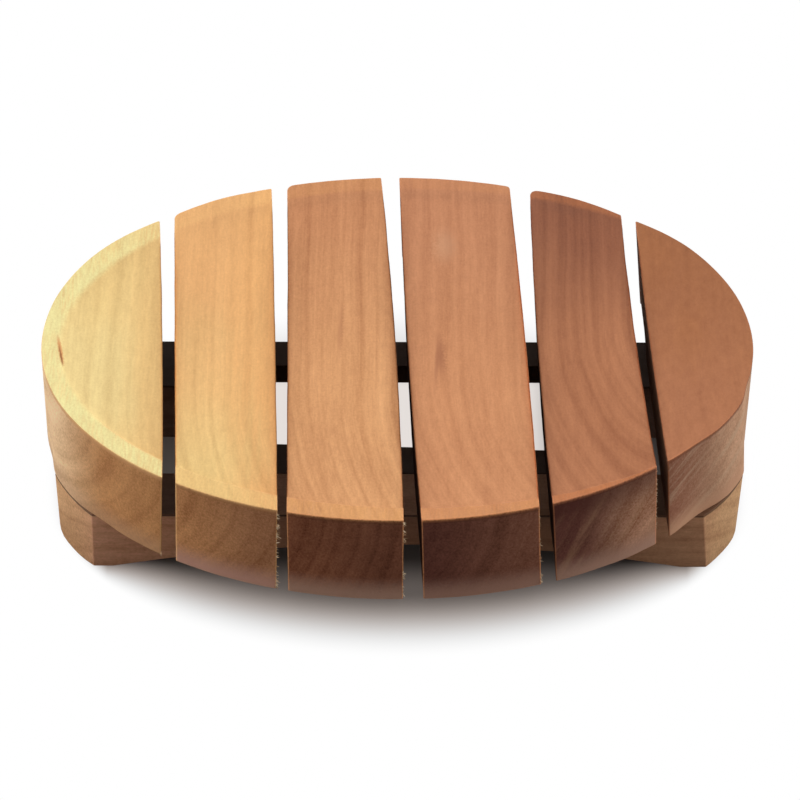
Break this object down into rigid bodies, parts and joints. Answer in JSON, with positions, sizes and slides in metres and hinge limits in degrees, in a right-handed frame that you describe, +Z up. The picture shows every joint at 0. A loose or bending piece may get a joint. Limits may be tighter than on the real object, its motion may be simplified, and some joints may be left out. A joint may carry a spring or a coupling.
{
  "type": "soap dish",
  "caption": "Oval wooden soap dish: a thick deck sawn into parallel slats with drain gaps, on a long arched front rail, rear feet and thin battens.",
  "frame": {"origin": "on the ground, under the middle of the oval deck", "axes": "+X along the oval's length, +Y towards the rear side that has the separate feet, +Z up"},
  "size_m": [0.12, 0.087, 0.03],
  "materials": {
    "pale_wood": "oiled satin",
    "honey_wood": "oiled satin",
    "red_wood": "oiled satin",
    "base_wood": "plain sawn and sanded",
    "brad_steel": "plain wire"
  },
  "bodies": {
    "root": {"slat_1": "pale_wood", "slat_2": "pale_wood", "slat_3": "honey_wood", "slat_4": "honey_wood", "slat_5": "red_wood", "slat_6": "red_wood", "front_rail": "base_wood", "rear_foot_left": "base_wood", "rear_foot_right": "base_wood", "front_batten": "base_wood", "rear_batten": "base_wood", "front_rail_brads": "brad_steel", "rear_foot_brads": "brad_steel", "front_batten_brads": "brad_steel", "rear_batten_brads": "brad_steel"}
  },
  "joints": []
}
